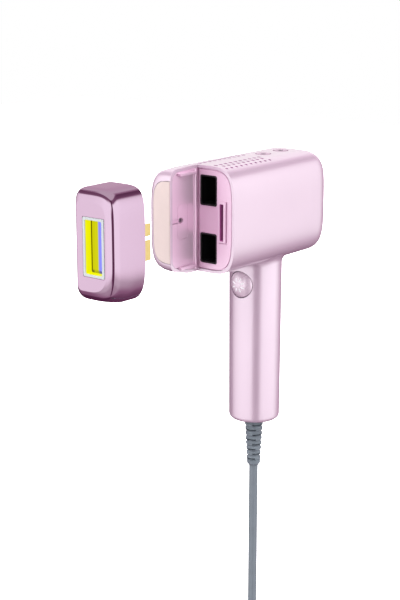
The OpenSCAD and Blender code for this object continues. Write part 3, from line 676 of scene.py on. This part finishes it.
def make_bay_wall():
    """Side wall of the bay: two rails, the catch's groove between two lines, an outlined panel and a bead."""
    bead = [(-5.75 + 1.35 * math.cos(math.radians(a)), -56.65 + 1.35 * math.sin(math.radians(a)))
            for a in range(-60, 61, 12)]
    plan = [(-7.05, -79), (-5.3, -79), (-5.3, -59.3), (-5.6, -59.1), (-5.6, -58.2)] + bead + [
        (-6.6, -55.3), (-6.6, -54.3), (-5.3, -54.2), (-5.3, -52.1), (-7.05, -52.1)]
    wall = head_form("bay_wall.smooth", 1.9)
    panel = prism("panel", rounded(-74, -64, HEAD_Z - 11, HEAD_Z + 11, 2.2), "x", -5.6, -5)
    carve(panel, [prism("inner", rounded(-73.8, -64.2, HEAD_Z - 10.8, HEAD_Z + 10.8, 2.0), "x", -6, -4)])
    cutters = [panel, bar(-6.9, -5, -82, CATCH_Y, -0.75, 2.45),
               prism("hole", disc(CATCH_Y, CATCH_Z, 1.35), "x", -9, -5)]
    cutters += [bar(-7.5, -5, -78.2, -71.6, z, z + 0.2) for z in (-0.75, 2.25)]
    cutters += [bar(-6.4, -5, -75.0, -73.3, z + 0.2, z + 1.5) for z in RAILS]
    rails = [prism("rail", rounded(-73.2, -57.9, HEAD_Z + z, HEAD_Z + z + 1.7, 0.6), "x", -5.8, -3.3)
             for z in RAILS]
    carve(wall, cutters, join=rails, keep=[prism("plan", plan, "z", 0, 200)])
    lips = [bar(-5.8, -5.32, -80.6, -78.6, low, high) for low, high in ((-24.9, -0.75), (2.45, 26.1))]
    wall = joined("bay_wall.smooth", [wall, *lips])
    finish_piece(wall, "handset", "bay_pink", width=0.12, stands_for=("bay_wall",))


make_bay_wall()


def side_outline(inset, x_min):
    """The head's section drawn in by an inset, its part with x over a limit, as (x, z)."""
    sizes = [v - inset for v in (HALF_W, HALF_W, HALF_H, HALF_H)]
    pts = [oval_point(t, sizes, SQUARE, SQUARE) for t in even_angles(160, SQUARE)]
    pts = sorted((p for p in pts if p[0] > x_min), key=lambda p: math.atan2(p[1], p[0] - x_min))
    return [(x_min, HEAD_Z + pts[0][1])] + [(x, HEAD_Z + z) for x, z in pts] + [(x_min, HEAD_Z + pts[-1][1])]


def make_bay_frame():
    """Rear wall of the bay: two mouths, a shallow hollow between them, and the socket's raised surround."""
    frame_ob = prism("bay_frame.smooth", side_outline(2.65, -4.3), "y", -54.1, -52.4)
    flange = prism("flange", side_outline(1.9, -5.2), "y", -53.2, -52.0)
    surround = prism("surround", rounded(11.4, 17.0, HEAD_Z - 13.3, HEAD_Z + 12.6, 1.0), "y", -54.8, -53)
    ahead = -56
    hollow = [(-5, ahead), (-5, -53.9), (-3.4, -53.9), (-1, -53.45), (7, -53.45), (9.8, -53.8),
              (11.2, -54.2), (11.2, ahead)]
    mouths = [prism("mouth", rounded(-3.5, 9.8, HEAD_Z + low, HEAD_Z + low + 19.3, 1.4), "y", -60, -50)
              for low in (8.6, -27.9)]
    cutters = [prism("hollow", hollow, "z", HEAD_Z - 8.2, HEAD_Z + 8.2),
               bar(17.0, 17.8, ahead, -53.3, -14.0, 12.6), bar(11.4, 17.0, ahead, -53.3, -14.0, -13.3),
               *mouths, bar(12.3, 15.3, -60, -50, -12.5, 10.9)]
    carve(frame_ob, cutters, join=[flange, surround])
    finish_piece(frame_ob, "handset", "bay_pink", width=0.14, stands_for=("bay_frame",))
    lining = bar(12.33, 15.27, -54.6, -52.1, -12.47, 10.87)
    lining.name = "socket_lining"
    carve(lining, [bar(12.6, 15.0, -60, -50, -12.2, 10.6)])
    finish_piece(lining, "handset", "socket_plastic", width=0)


make_bay_frame()


# ---------- top buttons ----------
def turned(name, profile, axis_at, axis, count=64):
    """Solid turned round the z or y axis through a point; the profile is (radius, place along the axis)."""
    rings = []
    for r, h in profile:
        ring = disc(*axis_at, r, count)
        rings.append([(p, q, h) if axis == "z" else (p, h, q) for p, q in ring])
    return loft(name, rings)


# Profiles as (radius, height from the head's top).
BUTTON_PROFILE = [(0.6, -4.2), (1.3, -4.2), (1.3, -3.6), (6.1, -3.6), (6.1, -2.6), (4.65, -2.6), (4.65, -0.1),
                  (4.5, 0.2), (4.25, 0.3), (3.6, 0.17), (2.4, -0.13), (1.8, -0.2), (0.8, -0.22)]
MARK_PROFILE = [(0.3, -0.35), (1.7, -0.35), (1.7, -0.2), (1.1, -0.16), (0.3, -0.15)]


def at_top(profile):
    return [(r, HEAD_TOP + h) for r, h in profile]


def make_top_buttons():
    """Slightly dished round buttons, each with a small plain mark let into its middle."""
    for node_name, y in BUTTON_Y.items():
        body = node_name.split("_")[0] + "_key"
        button = turned(node_name + ".smooth", at_top(BUTTON_PROFILE), (0, y), "z")
        marks = [prism("mark", disc(0, y, 1.75, 32), "z", HEAD_TOP - 0.5, HEAD_TOP + 1)]
        if node_name == "level_button":
            marks += [prism("dot", disc(p, q, 0.42, 12), "z", HEAD_TOP - 0.3, HEAD_TOP + 1)
                      for p, q in disc(0, y, 2.7, 8)]
        carve(button, [joined("marks", marks)])
        # The top buttons take the darker copy of their finish, which paints their shade.
        finish_piece(button, body, "button_pink", width=0.08, stands_for=(node_name,), look="button_pink_shaded")
        mark = turned(node_name + ".mark", at_top(MARK_PROFILE), (0, y), "z", 32)
        finish_piece(mark, body, "relief_grey", width=0, look="mark_ink")


make_top_buttons()


HANDLE_LOW = -55


def handle_radius(z):
    return 17.0 + 0.4 * (z - HANDLE_LOW) / 110.5


def underside(x, y):
    """Height of the head's underside over a point."""
    low = head_section(y)[3]
    return HEAD_Z - low * (1 - abs(x / HALF_W) ** SQUARE) ** (1 / SQUARE)


def make_handle():
    """Turned tube whose top follows the head's underside, with a small fillet there."""
    count = 144
    edge = 3.2
    levels = [(HANDLE_LOW, 13.6), (HANDLE_LOW, 13.7)]
    for i in range(9):
        a = math.pi / 2 * i / 8
        levels.append((HANDLE_LOW + edge * (1 - math.cos(a)), 17.0 - edge + edge * math.sin(a)))
    levels += [(z, handle_radius(z)) for z in (-45, -30, -15, 0, 15, 30, 42)]
    rings = [[(x, y, z) for x, y in disc(0, 0, r, count)] for z, r in levels]
    fillet = ((4.5, 0.0), (3.2, 0.05), (2.2, 0.22), (1.4, 0.55), (0.7, 1.1), (0.2, 1.8), (-0.1, 2.3),
              (-1, 2.4))
    for drop, grow in fillet:
        rings.append([(x, y, underside(x, y) - drop) for x, y in disc(0, 0, 17.4 + grow, count)])
    for r, z in ((15.4, 58.5), (15.4, 50), (15.0, -50), (13.6, -51.8)):
        rings.append([(x, y, z) for x, y in disc(0, 0, r, count)])
    handle = band("handle_shell.smooth", rings)
    tidy_normals(handle.data)
    carve(handle, [prism("trigger_hole", disc(0, TRIGGER_Z, 9.0, 64), "y", -30, -6)])
    finish_piece(handle, "handset", "shell_pink", width=0.25, stands_for=("handle_shell",))


make_handle()


DOME_FRONT, DOME_R = -19.6, 13.15
PETALS = 8


def dome(r):
    """Place along y of the trigger's domed face at a radius."""
    return DOME_FRONT + DOME_R - math.sqrt(DOME_R ** 2 - r * r)


def sag(x, z):
    """How far the dome leans back towards the handle's own curve."""
    return 0.6 * ease(math.hypot(x, z - TRIGGER_Z) / 8.6) * (0.2 - math.sqrt(17.1 ** 2 - x * x) - dome(8.6))


def petal(k):
    """Outline of the k-th petal as (x, z), and a slightly smaller one that fits in it."""
    middle = 3.6
    a = math.radians(22.5 + 360 / PETALS * k)
    outline = []
    for i in range(24):
        t = 2 * math.pi * i / 24
        u, v = middle + 1.5 * math.cos(t), 0.55 * math.sin(t)
        outline.append((u * math.cos(a) - v * math.sin(a), TRIGGER_Z + u * math.sin(a) + v * math.cos(a)))
    shrink = 0.06
    shift_x, shift_z = shrink * middle * math.cos(a), shrink * middle * math.sin(a)
    inner = [(x * (1 - shrink) + shift_x, TRIGGER_Z + (z - TRIGGER_Z) * (1 - shrink) + shift_z)
             for x, z in outline]
    return outline, inner


def make_trigger():
    """Domed button with light petals set round its middle."""
    profile = [(0.3, -10.9), (9.5, -10.9), (9.5, -12.1), (8.6, -12.1), (8.6, dome(8.6) + 0.3),
               (8.5, dome(8.6) + 0.05)]
    profile += [(8.3 - 8.0 * i / 16, dome(8.3 - 8.0 * i / 16)) for i in range(17)]
    button = turned("trigger_button.smooth", profile, (0, TRIGGER_Z), "y", 96)
    for vert in button.data.vertices:
        x, y, z = vert.co / MM
        if y < -13:
            vert.co.y += MM * sag(x, z)
    pads, slots = [], []
    for k in range(PETALS):
        outline, inner = petal(k)
        slots.append(prism("slot", outline, "y", -22, dome(3.6) + 0.35))
        back = [(x, dome(3.6) + 1.0, z) for x, z in inner]
        front = [(x, dome(math.hypot(x, z - TRIGGER_Z)) + sag(x, z) - 0.02, z) for x, z in inner]
        pads.append(loft("pad", [back, front]))
    carve(button, [joined("slots", slots)])
    finish_piece(button, "trigger", "button_pink", width=0.1, stands_for=("trigger_button",))
    petals = joined("trigger_light_guide.smooth", pads)
    finish_piece(petals, "trigger", "clear_guide", width=0.05, stands_for=("trigger_light_guide",))


make_trigger()


def make_cartridge():
    """Plated shell with its window: white frame, yellow walls and coloured glass, the walls and the glass lit
    by a painted glow.
    """
    shell = cartridge_form("cartridge_shell.smooth", 0, -4.75, CART_FRONT, CART_REAR)
    x, z = 9.15, HEAD_Z + 1.65

    def window(w, h, y0, y1):
        return prism("window", rounded(x - w / 2, x + w / 2, z - h / 2, z + h / 2, 1), "y", y0, y1)
    inner = cartridge_form("inner", 1.6, -2.0, CART_FRONT + 2.2, CART_REAR + 2)
    rails = [bar(-6, -2.9, -157.5, -130, r - 0.4, r + 2.1) for r in RAILS]
    pin = prism("pin_hole", disc(CATCH_Y + DRAW, CATCH_Z, 1.25), "x", -6, 0)
    bead_gap = bar(-6, -4.0, -142.3, -130, -37, 37)
    carve(shell, [inner, bead_gap, window(16.6, 34.8, -170, CART_FRONT + 0.45),
                  window(14.3, 32.7, -170, CART_FRONT + 4), *rails, pin])
    finish_piece(shell, "cartridge", "plated_pink", width=0.2, stands_for=("cartridge_shell",))
    bezel = window(15.9, 34.1, CART_FRONT - 0.3, CART_FRONT + 0.4)
    bezel.name = "window_bezel.smooth"
    carve(bezel, [window(12.6, 31.1, -170, CART_FRONT + 2)])
    finish_piece(bezel, "cartridge", "white_frame", width=0.18, stands_for=("window_bezel",))
    guide = window(14.2, 32.6, CART_FRONT + 0.4, CART_FRONT + 5)
    guide.name = "light_guide.smooth"
    carve(guide, [window(12.6, 31.1, -170, CART_FRONT + 8)])
    finish_piece(guide, "cartridge", "yellow_coating", width=0.08, stands_for=("light_guide",))
    glass = window(14.2, 32.6, CART_FRONT + 5, CART_FRONT + 6.4)
    glass.name = "filter_glass.smooth"
    finish_piece(glass, "cartridge", "filter_glass", width=0.1, stands_for=("filter_glass",))


make_cartridge()


# Outline of the cord relief: (height, radius).
RELIEF = [(-52.3, 6.3), (-60, 6.2), (-72, 5.5), (-84.5, 4.75), (-88.6, 4.5), (-89.2, 4.1)]


def make_relief():
    """Cord relief: a tapering sleeve with a rib at every slot; the slots open to either side by turns."""
    tip = -89.7
    ribs = [-56.6 - 3.5 * i for i in range(9)]

    def radius(z):
        for (z0, r0), (z1, r1) in zip(RELIEF, RELIEF[1:]):
            if z >= z1:
                base = r0 + (r1 - r0) * (z - z0) / (z1 - z0)
                break
        away = min(abs(z - rib) for rib in ribs)
        return base - 0.75 * ease((away - 0.55) / 0.9) if -86 < z < -55.6 else base
    levels = [(8, -50.1), (8, -52.3)] + [(radius(z), z) for z in
                                         (-52.3 - (-52.3 - tip - 1.2) * i / 120 for i in range(121))]
    levels += [(3.9, tip + 0.6), (3.6, tip)]
    sleeve = turned("strain_relief.smooth", levels, (0, 0), "z", 64)
    slots = []
    for i, z in enumerate(ribs):
        turn = math.radians(-51.3 + (-49 if i % 2 == 0 else 49))
        span = math.radians(62)
        sector = [(r * math.cos(turn + a), r * math.sin(turn + a)) for r, arc in
                  ((9, [span * k / 8 for k in range(-8, 9)]), (3.2, [span * k / 8 for k in range(8, -9, -1)]))
                  for a in arc]
        slots.append(prism("slot", sector, "z", z - 0.5, z + 0.5))
    carve(sleeve, [joined("slots", slots)])
    finish_piece(sleeve, "handset", "relief_grey", width=0.12, segments=2, stands_for=("strain_relief",))
    return sleeve


relief = make_relief()


# ---------- cord ----------
def cord_points():
    """Route of the cord: straight down, round the hank's turns, then down to the supply."""
    points = [(0, 0, z) for z in (-89.7, -96, -103, -110, -118, -126, -134, -142, -150, -158, -166, -174,
                                  -182, -190, -198, -206, -215, -225)]
    steps = 16
    for turn in range(TURNS):
        y = turn * PITCH
        for i in range(steps + 1):
            a = math.pi * i / steps
            points.append((-FOLD_R + FOLD_R * math.cos(a), y + PITCH / 2 * i / steps,
                           HANK_LOW_Z - FOLD_R * math.sin(a)))
        for i in range(steps + 1):
            a = math.pi * i / steps
            points.append((-FOLD_R - FOLD_R * math.cos(a), y + PITCH / 2 * (1 + i / steps),
                           HANK_TOP_Z + FOLD_R * math.sin(a)))
    y = TURNS * PITCH
    points += [(0, y, z) for z in (HANK_LOW_Z, -333, -341, -349, -356, -363)]
    return [Vector(p) * MM for p in points]


def make_cord():
    points = cord_points()
    curve = bpy.data.curves.new("power_cord", "CURVE")
    curve.dimensions = "3D"
    curve.bevel_depth = CORD_R * MM
    curve.bevel_resolution = 6
    spline = curve.splines.new("POLY")
    spline.points.add(len(points) - 1)
    for point, at in zip(spline.points, points):
        point.co = (*at, 1)
    spline.use_smooth = True
    curve.materials.append(M["cord_grey"])
    ob = bpy.data.objects.new("power_cord", curve)
    bpy.context.collection.objects.link(ob)
    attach(ob, "handset")
    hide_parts("cord_tube", "cord_hank", "cord_tail")


make_cord()


# ---------- light ----------
def level_stops(entries):
    """Ramp stops from (degrees, value) pairs over a span given by the first entry."""
    low, high = entries[0]
    return [((at - low) / (high - low), (v, v, v, 1)) for at, v in entries[1:]]


def studio():
    """World light: tall soft boxes round the object, one behind, one overhead; the camera sees white."""
    world = bpy.data.worlds.new("studio")
    bpy.context.scene.world = world
    world.use_nodes = True
    tree = world.node_tree
    tree.nodes.clear()
    new, link = tree.nodes.new, tree.links.new

    def maths(kind, a, b=None):
        n = new("ShaderNodeMath")
        n.operation = kind
        for i, v in enumerate((a, b)):
            if v is None:
                continue
            if isinstance(v, (int, float)):
                n.inputs[i].default_value = v
            else:
                link(v, n.inputs[i])
        return n.outputs[0]

    def profile(value, entries):
        r = new("ShaderNodeValToRGB")
        r.color_ramp.interpolation = "EASE"
        set_stops(r, level_stops(entries))
        link(value, r.inputs["Fac"])
        return r.outputs["Color"]

    direction = new("ShaderNodeTexCoord").outputs["Generated"]
    split = new("ShaderNodeSeparateXYZ")
    link(direction, split.inputs[0])
    x, y, z = split.outputs
    azimuth = maths("ARCTAN2", x, maths("MULTIPLY", y, -1.0))
    azimuth = maths("ADD", maths("MULTIPLY", azimuth, 1 / (2 * math.pi)), 0.5)
    elevation = maths("ADD", maths("MULTIPLY", maths("ARCSINE", z), 1 / math.pi), 0.5)
    around = profile(azimuth, AROUND)
    upward = profile(elevation, UPWARD)
    overhead = profile(elevation, OVERHEAD)
    behind = maths("MULTIPLY", profile(azimuth, BEHIND), profile(elevation, ABOVE))
    lit = maths("MAXIMUM", maths("MULTIPLY", around, upward), maths("MAXIMUM", behind, overhead))
    tint = new("ShaderNodeValToRGB")
    set_stops(tint, [(at, (*colour, 1)) for at, colour in LEVELS])
    link(lit, tint.inputs["Fac"])
    light = new("ShaderNodeBackground")
    link(tint.outputs["Color"], light.inputs["Color"])
    light.inputs["Strength"].default_value = STRENGTH
    seen = new("ShaderNodeBackground")
    seen.inputs["Color"].default_value = (1, 1, 1, 1)
    pick = new("ShaderNodeMixShader")
    link(new("ShaderNodeLightPath").outputs["Is Camera Ray"], pick.inputs["Fac"])
    link(light.outputs[0], pick.inputs[1])
    link(seen.outputs[0], pick.inputs[2])
    link(pick.outputs[0], new("ShaderNodeOutputWorld").inputs["Surface"])


# Azimuth in degrees from -Y towards +X, elevation from the horizon: (span), then (angle, level).
AROUND = [(-180, 180), (-180, 0.25), (-104, 0.03), (-84, 0.06), (-70, 0.55), (-56, 0.78), (-38, 0.93),
          (-26, 1.0), (21, 1.0), (34, 0.04), (53, 0.04), (67, 1.0), (134, 1.0), (148, 0.65), (162, 0.36),
          (180, 0.25)]
UPWARD = [(-90, 90), (-90, 0.3), (-45, 0.4), (-26, 0.55), (-14, 1.0), (19, 1.0), (32, 0.15), (90, 0.15)]
BEHIND = [(-180, 180), (-180, 0.28), (-164, 0.5), (-105, 0.5), (-80, 0.0), (166, 0.0), (180, 0.28)]
ABOVE = [(-90, 90), (-90, 0.0), (-5, 0.0), (4, 1.0), (90, 1.0)]
OVERHEAD = [(-90, 90), (-90, 0.0), (42, 0.0), (52, 0.5), (90, 0.5)]
# Colour of the light at each level: the dark parts of the room are mauve.
LEVELS = [(0.0, (0.075, 0.02, 0.055)), (0.27, (0.27, 0.155, 0.225)), (0.5, (0.52, 0.49, 0.50)),
          (0.8, (0.79, 0.78, 0.775)), (1.0, (0.965, 1.01, 0.985))]
STRENGTH = 1.66
studio()


def sky_panel():
    """Wide soft light from above, which only matt surfaces pick up."""
    lamp = bpy.data.lights.new("sky_panel", "SUN")
    lamp.energy = SKY
    lamp.angle = math.radians(165)
    lamp.color = (0.98, 1.02, 1.0)
    ob = bpy.data.objects.new("sky_panel", lamp)
    ob.visible_glossy = False
    bpy.context.collection.objects.link(ob)


SKY = 4.7
sky_panel()


def make_floor():
    mesh = bpy.data.meshes.new("floor")
    half = 4
    corners = ((-half, -half), (half, -half), (half, half), (-half, half))
    mesh.from_pydata([(x, y, FLOOR_Z) for x, y in corners], [], [(0, 1, 2, 3)])
    ob = bpy.data.objects.new("floor", mesh)
    bpy.context.collection.objects.link(ob)
    mat = bpy.data.materials.new("floor_white")
    mat.use_nodes = True
    shader = mat.node_tree.nodes["Principled BSDF"]
    shader.inputs["Base Color"].default_value = (0.9, 0.9, 0.9, 1)
    shader.inputs["Roughness"].default_value = 0.9
    shader.inputs["Emission Color"].default_value = (1, 1, 1, 1)
    shader.inputs["Emission Strength"].default_value = 1
    mesh.materials.append(mat)
    ob.visible_diffuse = False
    ob.visible_glossy = False


make_floor()
bpy.context.scene.view_settings.view_transform = "Standard"
